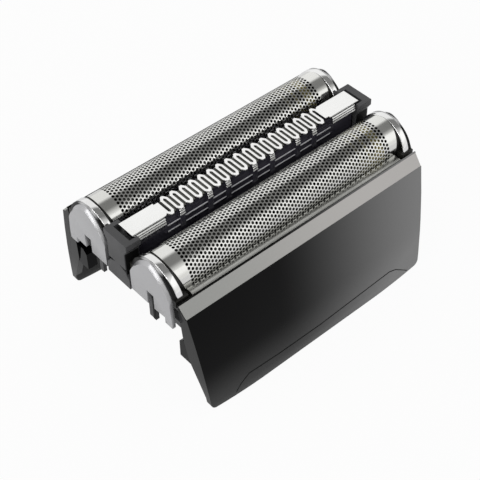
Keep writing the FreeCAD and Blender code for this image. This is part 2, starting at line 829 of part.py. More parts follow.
def flange_profile():
    """Zigzag section of a bent edge, from the panel edge down, as (reach, drop) pairs."""
    steps = panel_flange_waves
    points = [(0, 0)]
    for step in range(steps):
        drop = panel_flange_height * (step + 0.5) / steps
        reach = panel_flange_reach * (step + 0.5) / steps
        points.append((reach + panel_flange_wave, drop))
        points.append((panel_flange_reach * (step + 1) / steps,
                       panel_flange_height * (step + 1) / steps))
    return points


def bent_strip(profile, base_y, top_z, side, thickness):
    """Polygon in Y and Z that follows a profile outwards, with the sheet's thickness."""
    outer = [(side * (base_y + reach), top_z - drop) for reach, drop in profile]
    inner = [(side * (base_y + reach - thickness), top_z - drop) for reach, drop in profile]
    return outer + inner[::-1]


def tab_profile():
    third = tab_height / 3
    far = tab_offset + tab_wave
    return [(0, 0), (far, third * 0.6), (tab_offset, third * 1.1), (far, third * 1.7),
            (tab_offset, third * 2.2), (far, tab_height)]


def make_comb():
    top = lip + trimmer_top
    sheet = prism_z(comb_outline(), top - sheet_thickness, top)
    pieces = [sheet]
    for side in (-1, 1):
        flange = bent_strip(flange_profile(), panel_half_width, top, side, sheet_thickness)
        for end in (-1, 1):
            x0 = end * panel_flange_start_x
            x1 = end * panel_flange_end_x
            pieces.append(prism_x(flange, min(x0, x1), max(x0, x1)))
        strip = bent_strip(tab_profile(), tab_half_width_y, top, side, sheet_thickness)
        for index in range(turn_count):
            if is_tabbed(index, side < 0):
                x = turn_x(index, side < 0)
                pieces.append(prism_x(strip, x - tab_width / 2, x + tab_width / 2))
    return fuse(pieces)


def make_trimmer_blade():
    """Toothed strip that slides to and fro under the comb."""
    half = trimmer_blade_half_length
    edge = trimmer_blade_half_width
    deep = edge - tooth_slot_depth
    count = int(2 * half / turn_pitch)
    first = -(count - 1) * turn_pitch / 2
    row = [(-half, -edge)]
    for index in range(count):
        x = first + index * turn_pitch
        row += [(x - tooth_slot_width / 2, -edge), (x - tooth_slot_width / 3, -deep),
                (x + tooth_slot_width / 3, -deep), (x + tooth_slot_width / 2, -edge)]
    row.append((half, -edge))
    outline = row + [(-x, -y) for x, y in row]
    return prism_z(outline, trimmer_blade_bottom, trimmer_blade_top)


def make_trimmer_carrier():
    """Plastic bar under the comb with side ribs, ridges, end tongues and the slider's slot."""
    bottom = lip + carrier_bottom
    edge = carrier_half_width
    pieces = [box(-carrier_end_x, carrier_end_x, -edge, edge, bottom, carrier_top)]
    tongue_top = lip + pocket_top - stop_gap
    for end in (-1, 1):
        x0 = end * carrier_pad_start_x
        x1 = end * carrier_end_x
        pieces.append(box(min(x0, x1), max(x0, x1), -edge, edge, carrier_top, comb_underside))
        t0 = end * (carrier_end_x - merge)
        t1 = end * tongue_end_x
        pieces.append(box(min(t0, t1), max(t0, t1), -tongue_half_width, tongue_half_width,
                          bottom, tongue_top))
    rib_top = lip + trimmer_top - tab_height - rib_top_gap
    for front in (True, False):
        side = -1 if front else 1
        for index in range(turn_count):
            if is_tabbed(index, front):
                x = turn_x(index, front)
                y0 = side * (edge - merge)
                y1 = side * rib_reach
                pieces.append(box(x - rib_width / 2, x + rib_width / 2, min(y0, y1), max(y0, y1),
                                  lip + rib_bottom, rib_top))
        for level in ridge_levels:
            y0 = side * (edge - merge)
            y1 = side * ridge_reach
            pieces.append(box(-carrier_pad_start_x, carrier_pad_start_x, min(y0, y1), max(y0, y1),
                              lip + level, lip + level + ridge_height))
    slot = box(-slider_half_length - slider_stroke - frame_gap,
               slider_half_length + slider_stroke + frame_gap,
               -slider_half_width - frame_gap, slider_half_width + frame_gap,
               bottom - tool_reach, carrier_top + tool_reach)
    return fuse(pieces).cut(slot)


def make_trimmer_slider():
    """Peg that takes the drive from below to the blade."""
    waist = lip + slider_bottom + slider_foot_height
    stem = box(-slider_half_length, slider_half_length, -slider_half_width, slider_half_width,
               waist, trimmer_blade_bottom)
    foot = [(-slider_half_length, waist), (slider_half_length, waist),
            (slider_foot_half_length, lip + slider_bottom),
            (-slider_foot_half_length, lip + slider_bottom)]
    return stem.fuse(prism_y(foot, -slider_half_width, slider_half_width)).removeSplitter()


# Springs

def make_spring(x, y, bottom, top):
    """Folded leaf spring: two feet joined by a zigzag of three leaves."""
    height = top - bottom
    half = spring_half_width
    leaf = spring_leaf
    low_bend = bottom + 0.36 * height
    high_bend = bottom + 0.68 * height
    path = [
        (-half, bottom),
        (half, bottom),
        (half, bottom + leaf),
        (-half + leaf * 2, bottom + leaf),
        (half, low_bend),
        (half, low_bend + leaf),
        (-half + leaf * 2, high_bend),
        (half, top - leaf),
        (half, top),
        (-half, top),
        (-half, top - leaf),
        (half - leaf * 2.5, top - leaf),
        (-half, high_bend + leaf / 2),
        (-half, high_bend - leaf / 2),
        (half - leaf * 2.5, low_bend + leaf / 2),
        (-half, bottom + leaf),
    ]
    return prism_y([(x + px, pz) for px, pz in path], y - spring_half_length,
                   y + spring_half_length)


def build():
    cover = make_cover()
    band = make_band()
    foil = make_foil()
    foil_frame = make_foil_frame()
    ring = make_ring()
    cap = make_cap()
    blades = make_cutter_blades()
    carrier = make_cutter_carrier()
    spring_x = (crossbar_inner_x + crossbar_outer_x) / 2
    foil_spring = make_spring(spring_x, unit_y(0), crossbar_top, block_bottom)
    unit = {
        "cover": cover,
        "cover_band": band,
        "foil": foil,
        "foil_frame": foil_frame,
        "outer_rail": make_rail(True),
        "inner_rail": make_rail(False),
        "right_arch_ring": ring,
        "left_arch_ring": mirror_x(ring),
        "right_end_cap": cap,
        "left_end_cap": mirror_x(cap),
        "cutter_blades": blades,
        "cutter_carrier": carrier,
        "right_foil_spring": foil_spring,
        "left_foil_spring": mirror_x(foil_spring),
    }
    nodes = {}
    for name, shape in unit.items():
        nodes["rear_" + name] = shape
        nodes["front_" + name] = mirror_y(shape)
    nodes["cassette_frame"] = make_frame()
    nodes["trimmer_comb"] = make_comb()
    nodes["trimmer_blade"] = make_trimmer_blade()
    nodes["trimmer_carrier"] = make_trimmer_carrier()
    nodes["trimmer_slider"] = make_trimmer_slider()
    spring = make_spring(trimmer_spring_x, 0, spine_floor, lip + carrier_bottom)
    nodes["right_trimmer_spring"] = spring
    nodes["left_trimmer_spring"] = mirror_x(spring)
    return nodes


os.makedirs("parts", exist_ok=True)
for node_name, node_shape in build().items():
    solids = node_shape.Solids
    valid = all(solid.isValid() for solid in solids)
    print(node_name, len(solids), round(node_shape.Volume, 3), "valid" if valid else "INVALID")
    body = solids[0] if len(solids) == 1 else node_shape
    body.exportStep("parts/" + node_name + ".step")
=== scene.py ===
import math

import bmesh
import bpy
from mathutils import Euler, Matrix, Vector


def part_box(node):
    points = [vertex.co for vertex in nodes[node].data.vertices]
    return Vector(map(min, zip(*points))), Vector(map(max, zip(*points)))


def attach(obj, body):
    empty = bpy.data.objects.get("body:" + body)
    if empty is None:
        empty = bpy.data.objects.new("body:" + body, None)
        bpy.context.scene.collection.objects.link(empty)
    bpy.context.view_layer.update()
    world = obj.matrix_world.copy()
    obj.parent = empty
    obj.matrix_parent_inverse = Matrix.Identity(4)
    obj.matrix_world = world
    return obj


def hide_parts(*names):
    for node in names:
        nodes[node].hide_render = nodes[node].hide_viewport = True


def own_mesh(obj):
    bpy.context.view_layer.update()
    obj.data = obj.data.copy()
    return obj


# Shaver foil head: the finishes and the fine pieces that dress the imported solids.
# Shapes are drawn in millimetres in the frame's own axes, and finish_piece scales them to metres.
# Most of what comes twice or four times is drawn once, at the rear right, and mirrored to its place.

MM = 0.001
SIDES = {"front": -1, "rear": 1}
ENDS = {"left": -1, "right": 1}

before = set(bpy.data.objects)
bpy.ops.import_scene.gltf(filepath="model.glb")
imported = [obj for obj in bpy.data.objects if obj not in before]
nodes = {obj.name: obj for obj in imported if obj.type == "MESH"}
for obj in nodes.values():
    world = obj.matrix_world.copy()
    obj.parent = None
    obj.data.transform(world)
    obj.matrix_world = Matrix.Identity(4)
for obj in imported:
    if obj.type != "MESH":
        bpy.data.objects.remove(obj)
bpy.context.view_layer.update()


# Tools for the finishes

# Noise lies mostly between these two values
NOISE_LOW = 0.35
NOISE_HIGH = 0.65

# How fine the noises are, in waves for each metre
PLASTIC_CLOUDS = 120.0
STEEL_CLOUDS = 160.0
SKIN_PATCHES = 260.0
SKIN_GRAIN = 9000.0
POLISH_LINES = 14000.0
POLISH_STRETCH = 0.02

# How deep the relief is, in metres
PLASTIC_RELIEF = 0.00001
STEEL_RELIEF = 0.000004

# Heights in millimetres between which a cover's painted reflection lightens it towards its foot
REFLECTION_FOOT_START = 9.0
REFLECTION_FOOT_END = -1.0


def new_finish(name):
    """Material with its tree and its shader."""
    finish = bpy.data.materials.new(name)
    finish.use_nodes = True
    tree = finish.node_tree
    return finish, tree, tree.nodes["Principled BSDF"]


def set_inputs(node, values):
    """Set inputs of a shader node by their names."""
    for name, value in values.items():
        node.inputs[name].default_value = value


def combine(tree, operation, first, second):
    """Math node on two outputs, or on an output and a number."""
    node = tree.nodes.new("ShaderNodeMath")
    node.operation = operation
    tree.links.new(first, node.inputs[0])
    if isinstance(second, float):
        node.inputs[1].default_value = second
    else:
        tree.links.new(second, node.inputs[1])
    return node.outputs["Value"]


def object_place(tree):
    """Object coordinates, which stay on the piece when it moves."""
    return tree.nodes.new("ShaderNodeTexCoord").outputs["Object"]


def noise(tree, place, detail):
    """Noise texture over the given coordinates."""
    texture = tree.nodes.new("ShaderNodeTexNoise")
    texture.inputs["Detail"].default_value = detail
    tree.links.new(place, texture.inputs["Vector"])
    return texture


def new_group(name, values):
    """Shader group that takes the named values."""
    group = bpy.data.node_groups.new(name, "ShaderNodeTree")
    for value_name, value in values.items():
        socket = group.interface.new_socket(name=value_name, in_out="INPUT",
                                            socket_type="NodeSocketFloat")
        socket.default_value = value
    group.interface.new_socket(name="Roughness", in_out="OUTPUT", socket_type="NodeSocketFloat")
    group.interface.new_socket(name="Normal", in_out="OUTPUT", socket_type="NodeSocketVector")
    return group


def give_relief_and_gloss(group, given, relief, strength, gloss, low, high):
    """Make the group's normal from one noise, and its roughness from another between low and high."""
    result = group.nodes.new("NodeGroupOutput")
    bump = group.nodes.new("ShaderNodeBump")
    bump.inputs["Strength"].default_value = strength
    spread = group.nodes.new("ShaderNodeMapRange")
    set_inputs(spread, {"From Min": low, "From Max": high})
    link = group.links.new
    link(relief, bump.inputs["Height"])
    link(given.outputs["Depth"], bump.inputs["Distance"])
    link(bump.outputs["Normal"], result.inputs["Normal"])
    link(gloss, spread.inputs["Value"])
    link(given.outputs["Smoothest"], spread.inputs["To Min"])
    link(given.outputs["Roughest"], spread.inputs["To Max"])
    link(spread.outputs["Result"], result.inputs["Roughness"])


def make_grain_group():
    """Fine grain of a moulded or lacquered skin, with slow patches of smoother and rougher skin."""
    group = new_group("moulded grain", {"Fineness": SKIN_GRAIN, "Depth": PLASTIC_RELIEF,
                                        "Smoothest": 0.3, "Roughest": 0.45})
    given = group.nodes.new("NodeGroupInput")
    place = object_place(group)
    grain = noise(group, place, detail=3.0)
    group.links.new(given.outputs["Fineness"], grain.inputs["Scale"])
    patches = noise(group, place, detail=4.0)
    patches.inputs["Scale"].default_value = SKIN_PATCHES
    give_relief_and_gloss(group, given, relief=grain.outputs["Fac"], strength=0.5,
                          gloss=patches.outputs["Fac"], low=NOISE_LOW, high=NOISE_HIGH)
    return group


def make_polish_group():
    """Drawn polish lines along X on steel."""
    group = new_group("drawn polish", {"Fineness": POLISH_LINES, "Depth": STEEL_RELIEF,
                                       "Smoothest": 0.12, "Roughest": 0.24})
    given = group.nodes.new("NodeGroupInput")
    stretch = group.nodes.new("ShaderNodeMapping")
    stretch.inputs["Scale"].default_value = (POLISH_STRETCH, 1.0, 1.0)
    group.links.new(object_place(group), stretch.inputs["Vector"])
    lines = noise(group, stretch.outputs["Vector"], detail=2.0)
    group.links.new(given.outputs["Fineness"], lines.inputs["Scale"])
    give_relief_and_gloss(group, given, relief=lines.outputs["Fac"], strength=0.4,
                          gloss=lines.outputs["Fac"], low=0.0, high=1.0)
    return group


grain_group = make_grain_group()
polish_group = make_polish_group()


def use_group(tree, shader, group, values):
    """Give a shader the normal and the roughness of a group."""
    node = tree.nodes.new("ShaderNodeGroup")
    node.node_tree = group
    set_inputs(node, values)
    tree.links.new(node.outputs["Roughness"], shader.inputs["Roughness"])
    tree.links.new(node.outputs["Normal"], shader.inputs["Normal"])


def colour_between(tree, shader, share, dark, light, start=0.0, end=1.0):
    """Base colour that turns from dark to light as a value goes from start to end."""
    ramp = tree.nodes.new("ShaderNodeValToRGB")
    for element, position, colour in zip(ramp.color_ramp.elements, (start, end), (dark, light)):
        element.position = position
        element.color = (*colour, 1)
    tree.links.new(share, ramp.inputs["Fac"])
    tree.links.new(ramp.outputs["Color"], shader.inputs["Base Color"])


def cloudy_colour(tree, shader, dark, light, fineness):
    """Slow change of colour between two tones."""
    cloud = noise(tree, object_place(tree), detail=2.0)
    cloud.inputs["Scale"].default_value = fineness
    colour_between(tree, shader, cloud.outputs["Fac"], dark, light, NOISE_LOW, NOISE_HIGH)


def smooth_share(tree, value, start, end, most=1.0):
    """Share that rises smoothly to its most as a coordinate goes from start to end, in millimetres."""
    share = tree.nodes.new("ShaderNodeMapRange")
    share.interpolation_type = "SMOOTHSTEP"
    set_inputs(share, {"From Min": start * MM, "From Max": end * MM, "To Max": most})
    tree.links.new(value, share.inputs["Value"])
    return share.outputs["Result"]


def lighten_along(tree, shader, dark, light, start, end, foot_reflection_share=0.0, axis="X"):
    """Colour that turns from one tone to the other along an axis, and sooner near the foot by a share
    that paints a reflection.
    """
    parts = tree.nodes.new("ShaderNodeSeparateXYZ")
    tree.links.new(object_place(tree), parts.inputs["Vector"])
    along = smooth_share(tree, parts.outputs[axis], start, end)
    down = smooth_share(tree, parts.outputs["Z"], REFLECTION_FOOT_START, REFLECTION_FOOT_END, foot_reflection_share)
    colour_between(tree, shader, combine(tree, "ADD", along, down), dark, light)


# Finishes

def plastic(name, dark, light, smoothest, roughest, depth=PLASTIC_RELIEF, specular=0.5,
            metallic=0.0):
    """Moulded plastic between two tones."""
    finish, tree, shader = new_finish(name)
    set_inputs(shader, {"Specular IOR Level": specular, "Metallic": metallic})
    cloudy_colour(tree, shader, dark, light, PLASTIC_CLOUDS)
    use_group(tree, shader, grain_group,
              {"Depth": depth, "Smoothest": smoothest, "Roughest": roughest})
    return finish


def steel(name, dark, light, smoothest, roughest, depth=STEEL_RELIEF):
    """Polished steel between two tones."""
    finish, tree, shader = new_finish(name)
    shader.inputs["Metallic"].default_value = 1.0
    cloudy_colour(tree, shader, dark, light, STEEL_CLOUDS)
    use_group(tree, shader, polish_group,
              {"Depth": depth, "Smoothest": smoothest, "Roughest": roughest})
    return finish


def make_cover_lacquer_with_painted_reflection():
    """Black lacquer with a painted reflection: it lightens to graphite towards the right end and the foot
    of a cover.
    """
    finish, tree, shader = new_finish("black lacquer with painted reflection")
    shader.inputs["Specular IOR Level"].default_value = 0.08
    # Painted reflection: black at the left, graphite towards the right end and the foot
    lighten_along(tree, shader, (0.001, 0.001, 0.0012), (0.22, 0.22, 0.22), start=-8.0, end=27.0,
                  foot_reflection_share=0.28)
    use_group(tree, shader, grain_group, {"Depth": 0.000001, "Smoothest": 0.10, "Roughest": 0.16})
    return finish


def make_band_lacquer_with_painted_light():
    """Silver lacquer of the bands with painted light: darker and cooler at the left end, lighter and
    warmer at the right.
    """
    finish, tree, shader = new_finish("silver lacquer with painted light")
    lighten_along(tree, shader, (0.295, 0.298, 0.285), (0.44, 0.425, 0.41), start=-24.0,
                  end=14.0)
    use_group(tree, shader, grain_group, {"Depth": 0.000002, "Smoothest": 0.30, "Roughest": 0.38})
    return finish


def make_cutter_steel():
    """Dark steel of the cutters, turning lighter and olive towards their right ends."""
    finish, tree, shader = new_finish("cutter steel")
    shader.inputs["Metallic"].default_value = 1.0
    lighten_along(tree, shader, (0.08, 0.08, 0.075), (0.36, 0.32, 0.15), start=11.0, end=20.0)
    use_group(tree, shader, polish_group, {"Smoothest": 0.25, "Roughest": 0.40})
    return finish


def make_gap_shade_black():
    """Black arch behind a ring that paints the shade in the gap between ring and cap, turning grey
    towards its crown.
    """
    finish, tree, shader = new_finish("painted_gap_shade")
    shader.inputs["Specular IOR Level"].default_value = 0.12
    lighten_along(tree, shader, (0.006, 0.006, 0.006), (0.50, 0.50, 0.50), start=24.2,
                  end=24.9, axis="Z")
    use_group(tree, shader, grain_group, {"Depth": 0.000001, "Smoothest": 0.30, "Roughest": 0.40})
    return finish


foil_steel = steel("foil steel", (0.72, 0.72, 0.70), (0.80, 0.80, 0.78), 0.10, 0.20, depth=0.000002)
bright_steel = steel("bright steel", (0.80, 0.80, 0.80), (0.88, 0.88, 0.88), 0.05, 0.12, depth=0.000001)
comb_steel = steel("comb steel", (0.92, 0.92, 0.915), (0.96, 0.96, 0.955), 0.20, 0.30)
rail_steel = steel("rail steel", (0.42, 0.42, 0.40), (0.52, 0.52, 0.50), 0.18, 0.30)
blade_steel = steel("blade steel", (0.06, 0.06, 0.055), (0.12, 0.12, 0.11), 0.25, 0.40)
spring_steel = steel("spring steel", (0.50, 0.50, 0.49), (0.60, 0.60, 0.59), 0.20, 0.35)
cutter_steel = make_cutter_steel()
grey_cap = plastic("grey cap plastic", (0.445, 0.445, 0.455), (0.455, 0.455, 0.465), 0.29, 0.31,
                   depth=0.0, metallic=0.6)
dark_plastic = plastic("dark plastic", (0.010, 0.010, 0.009), (0.018, 0.018, 0.014), 0.25, 0.40,
                       specular=0.3)
glossy_plastic = plastic("glossy black plastic", (0.018, 0.017, 0.024), (0.046, 0.044, 0.058),
                         0.10, 0.22, depth=0.000004)
# Matt black: for strips that paint shade, and for the raised cover lines
shade_and_line_black = plastic("matt black for painted shade and lines", (0.003, 0.003, 0.003), (0.006, 0.006, 0.006), 0.50, 0.60,
                     specular=0.12)
# Light grey plastic for strips that paint highlights
painted_highlight_plastic = plastic("painted highlight plastic", (0.50, 0.50, 0.52), (0.66, 0.66, 0.68), 0.20, 0.35)
frame_plastic = plastic("frame plastic", (0.058, 0.058, 0.060), (0.068, 0.068, 0.070), 0.40, 0.55,
                        specular=0.25)
black_lacquer_painted_reflection = make_cover_lacquer_with_painted_reflection()
silver_lacquer_painted_light = make_band_lacquer_with_painted_light()
gap_shade_black = make_gap_shade_black()


# The solids: a finish for each, and softened edges, by their width in millimetres, on those that show

NODE_FINISHES = {
    "cover": black_lacquer_painted_reflection,
    "cover_band": silver_lacquer_painted_light,
    "foil": foil_steel,
    "foil_frame": dark_plastic,
    "outer_rail": bright_steel,
    "inner_rail": bright_steel,
    "arch_ring": bright_steel,
    "end_cap": grey_cap,
    "cutter_blades": cutter_steel,
    "cutter_carrier": dark_plastic,
    "foil_spring": spring_steel,
    "cassette_frame": frame_plastic,
    "trimmer_comb": comb_steel,
    "trimmer_blade": blade_steel,
    "trimmer_carrier": glossy_plastic,
    "trimmer_slider": dark_plastic,
    "trimmer_spring": spring_steel,
}

EDGE_WIDTHS = {
    "cassette_frame": 0.12,
    "foil_frame": 0.06,
    "inner_rail": 0.12,
    "cover_band": 0.03,
    "cover": 0.08,
    "cutter_carrier": 0.06,
    "trimmer_carrier": 0.06,
    "trimmer_slider": 0.06,
}


def soften(node, width):
    """Small rounded edges on a moulded or stamped solid."""
    weld = node.modifiers.new("weld", "WELD")
    weld.merge_threshold = 0.001 * MM
    flat = node.modifiers.new("flat", "DECIMATE")
    flat.decimate_type = "DISSOLVE"
    flat.angle_limit = math.radians(1.0)
    edge = node.modifiers.new("edge", "BEVEL")
    edge.width = width * MM
    edge.segments = 2
    edge.limit_method = "ANGLE"
    edge.angle_limit = math.radians(35)
    edge.use_clamp_overlap = True


for name, node in nodes.items():
    for ending, finish in NODE_FINISHES.items():
        if name.endswith(ending):
            node.data.materials.clear()
            node.data.materials.append(finish)
    for ending, width in EDGE_WIDTHS.items():
        if name.endswith(ending):
            soften(node, width)


# Tools for the pieces

# Points nearer than the first are one point, and those nearer in height than the second are level
WELD = 0.0005
LEVEL = 0.01


def finish_piece(name, shape, finish, body, stands_for=(), sharp_angle=35):
    """Turn a drawn shape into a piece that rides on a body."""
    bmesh.ops.remove_doubles(shape, verts=shape.verts, dist=WELD)
    bmesh.ops.recalc_face_normals(shape, faces=shape.faces)
    bmesh.ops.scale(shape, vec=(MM, MM, MM), verts=shape.verts)
    mesh = bpy.data.meshes.new(name)
    shape.to_mesh(mesh)
    shape.free()
    mesh.shade_smooth()
    mesh.set_sharp_from_angle(angle=math.radians(sharp_angle))
    mesh.materials.append(finish)
    piece = bpy.data.objects.new(name, mesh)
    bpy.context.scene.collection.objects.link(piece)
    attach(piece, body)
    if stands_for:
        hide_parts(*stands_for)
    return piece


def verts_in(geometry):
    """The points among the parts that a mesh tool gives back."""
    return [part for part in geometry if isinstance(part, bmesh.types.BMVert)]


def mirrored(shape, side, end=1):
    """Copy of a shape, mirrored to the other side or end where that is -1."""
    copy = shape.copy()
    bmesh.ops.scale(copy, vec=(end, side, 1), verts=copy.verts)
    return copy


def rotation(degrees, axis):
    """Turn about an axis, for the mesh tools."""
    return Matrix.Rotation(math.radians(degrees), 3, axis)


def repeat(shape, geometry, step, count):
    """Repeat a stretch of a shape at equal steps, count times in all."""
    bmesh.ops.spin(shape, geom=geometry, cent=(0, 0, 0), axis=(0, 0, 1), dvec=step, angle=0,
                   steps=count - 1, use_duplicate=True)


def join_in_row(shape, verts):
    """Edge from each point to the next."""
    for near, far in zip(verts, verts[1:]):
        shape.edges.new((near, far))


def round_edges(shape, edges, width, segments):
    """Round some edges of a shape."""
    bmesh.ops.bevel(shape, geom=edges, offset=width, offset_type="OFFSET", segments=segments,
                    profile=0.5, affect="EDGES", material=-1, clamp_overlap=True)


def make_bar(x, y, z, rounding, segments=3):
    """Bar with rounded edges, given where it starts and ends along each axis."""
    bar = bmesh.new()
    reaches = (x, y, z)
    bmesh.ops.create_cube(bar, size=1.0)
    bmesh.ops.scale(bar, vec=[high - low for low, high in reaches], verts=bar.verts)
    bmesh.ops.translate(bar, vec=[(low + high) / 2 for low, high in reaches], verts=bar.verts)
    round_edges(bar, bar.edges[:], rounding, segments)
    return bar


# Foils: six-sided holes in staggered columns, drawn flat and bent over the arch

# The arch's axis lies at FOIL_Y and FOIL_Z, and a foil's ends draw in by FOIL_TAPER down to its skirts
FOIL_Y = 7.33
FOIL_Z = 21.35
FOIL_RADIUS = 3.85
FOIL_HALF = 21.93
FOIL_TAPER = 1.12
FOIL_SKIRT_Z = 18.25
FOIL_SHEET = 0.08
QUARTER_ARCH = math.pi / 2 * FOIL_RADIUS
HOLE_PITCH = 0.63
HOLE_WALL = 0.09
HOLE_COLUMNS = 72
HOLES_PER_COLUMN = 21
CORNER_MERGE = 0.02

# The honeycomb's ragged border lies this near to its ends and its sides
END_BORDER = 0.25
SIDE_BORDER = 0.4


def make_hole_cells():
    """Flat honeycomb about the middle, one cell for each hole."""
    sheet = bmesh.new()
    column_step = HOLE_PITCH * math.sqrt(3) / 2
    bmesh.ops.create_circle(sheet, cap_ends=True, segments=6, radius=HOLE_PITCH / math.sqrt(3))
    bmesh.ops.rotate(sheet, verts=sheet.verts, matrix=rotation(30, "Z"))
    repeat(sheet, sheet.faces[:], (0, HOLE_PITCH, 0), HOLES_PER_COLUMN)
    next_column = bmesh.ops.duplicate(sheet, geom=sheet.faces[:])["geom"]
    bmesh.ops.translate(sheet, verts=verts_in(next_column), vec=(column_step, HOLE_PITCH / 2, 0))
    repeat(sheet, sheet.faces[:], (2 * column_step, 0, 0), HOLE_COLUMNS // 2)
    bmesh.ops.remove_doubles(sheet, verts=sheet.verts, dist=CORNER_MERGE)
    return sheet


def add_foil_margin(sheet, border, reach_x, reach_y):
    """Plain margin from the holes to the foil's tapered ends and the feet of its skirts."""
    skirt = QUARTER_ARCH + FOIL_Z - FOIL_SKIRT_Z
    margin = bmesh.ops.extrude_edge_only(sheet, edges=border)["geom"]
    for vert in verts_in(margin):
        at_end = abs(vert.co.x) > reach_x - END_BORDER
        at_skirt = abs(vert.co.y) > reach_y - SIDE_BORDER
        if at_skirt:
            vert.co.y = math.copysign(skirt, vert.co.y)
        if at_end:
            turn = min(abs(vert.co.y), QUARTER_ARCH) / FOIL_RADIUS
            vert.co.x = math.copysign(FOIL_HALF - FOIL_TAPER * (1 - math.cos(turn)), vert.co.x)


def bend_over_arch(sheet):
    """Bend a sheet whose Y is the length over the arch, with its skirts hanging straight."""
    top = max(vert.co.z for vert in sheet.verts)
    for vert in sheet.verts:
        radius = FOIL_RADIUS + vert.co.z - top
        along = max(-QUARTER_ARCH, min(QUARTER_ARCH, vert.co.y))
        turn = along / FOIL_RADIUS
        drop = abs(vert.co.y) - abs(along)
        vert.co.y = FOIL_Y + radius * math.sin(turn)
        vert.co.z = FOIL_Z + radius * math.cos(turn) - drop


def make_foil_sheet():
    """Perforated foil of the rear shaving unit."""
    sheet = make_hole_cells()
    xs = [vert.co.x for vert in sheet.verts]
    ys = [vert.co.y for vert in sheet.verts]
    bmesh.ops.translate(sheet, verts=sheet.verts,
                        vec=(-(min(xs) + max(xs)) / 2, -(min(ys) + max(ys)) / 2, 0))
    cells = sheet.faces[:]
    bmesh.ops.inset_individual(sheet, faces=cells, thickness=HOLE_WALL, use_even_offset=True)
    border = [edge for edge in sheet.edges if edge.is_boundary]
    bmesh.ops.delete(sheet, geom=cells, context="FACES_ONLY")
    add_foil_margin(sheet, border, (max(xs) - min(xs)) / 2, (max(ys) - min(ys)) / 2)
    bmesh.ops.recalc_face_normals(sheet, faces=sheet.faces)
    bmesh.ops.solidify(sheet, geom=sheet.faces[:], thickness=FOIL_SHEET)
    bend_over_arch(sheet)
    return sheet


foil_shape = make_foil_sheet()
for side_name, side in SIDES.items():
    finish_piece(f"{side_name}_foil_sheet", mirrored(foil_shape, side), foil_steel,
                 f"{side_name}_foil_unit", [f"{side_name}_foil"], sharp_angle=50)


# Rings, black arches that paint the shade behind them, and caps at the foils' ends

# Rings and the black arches of painted shade stand on the foil frames at SEAT_Z, and a cap's heights go
# down from the covers' lip
SEAT_Z = 21.3
LIP = 21.1
ARCH_STEPS = 48
CAP_BACK_X = 23.45
CAP_FACE_X = 24.05
CAP_Z = LIP - 0.5
CAP_HALF = 4.4
CAP_RISE = 4.58
CAP_STEPS = 40
CAP_CROWN_POWER = 1.35
CAP_SIDE_POWER = 0.6
CAP_RIM = 0.12
CAP_RIM_ROUNDING = 0.12
CAP_LEG_ROUNDING = 0.06
CAP_CHAMFER = 0.55
CAP_SHOULDER_TUCK = 0.28
CAP_LEG_Z = LIP - 4.3
CAP_SLOT_HALF = 0.75
CAP_SLOT_TOP = LIP - 1.7
CAP_FOOT_OUT = FOIL_Y + CAP_HALF + 0.3
CAP_FOOT_IN = CAP_FOOT_OUT - 1.6
CAP_FOOT_BOTTOM = LIP - 5.2
CAP_FOOT_TOP = LIP - 3.8
CAP_OUTER_LEG_Z = LIP - 4.1


def make_arch(x, half_width, centre_z, top, wall, rounding, lean_near, lean_far):
    """Rounded arch over the foil, spun from its section, leaning inwards to its feet, cut at its seat."""
    near, far = x
    arch = bmesh.new()
    bmesh.ops.create_grid(arch, x_segments=1, y_segments=1, size=0.5)
    bmesh.ops.scale(arch, vec=(far - near, wall, 1), verts=arch.verts)
    bmesh.ops.bevel(arch, geom=arch.verts[:], offset=rounding, offset_type="OFFSET", segments=3,
                    profile=0.5, affect="VERTICES", material=-1)
    bmesh.ops.rotate(arch, verts=arch.verts, matrix=rotation(90, "X"))
    bmesh.ops.translate(arch, verts=arch.verts,
                        vec=((near + far) / 2, FOIL_Y, centre_z + half_width - wall / 2))
    bmesh.ops.rotate(arch, verts=arch.verts, cent=(0, FOIL_Y, centre_z), matrix=rotation(-90, "X"))
    bmesh.ops.spin(arch, geom=arch.faces[:], cent=(0, FOIL_Y, centre_z), axis=(1, 0, 0),
                   angle=math.pi, steps=ARCH_STEPS)
    rise = top - centre_z
    for vert in arch.verts:
        height = (vert.co.z - centre_z) / half_width
        share = (vert.co.x - near) / (far - near)
        vert.co.z = centre_z + height * rise
        vert.co.x -= (lean_near + (lean_far - lean_near) * share) * (1 - height)
    cut = bmesh.ops.bisect_plane(arch, geom=arch.verts[:] + arch.edges[:] + arch.faces[:],
                                 plane_co=(0, 0, SEAT_Z), plane_no=(0, 0, -1), clear_outer=True)
    open_edges = [part for part in cut["geom_cut"] if isinstance(part, bmesh.types.BMEdge)]
    bmesh.ops.holes_fill(arch, edges=open_edges, sides=0)
    return arch


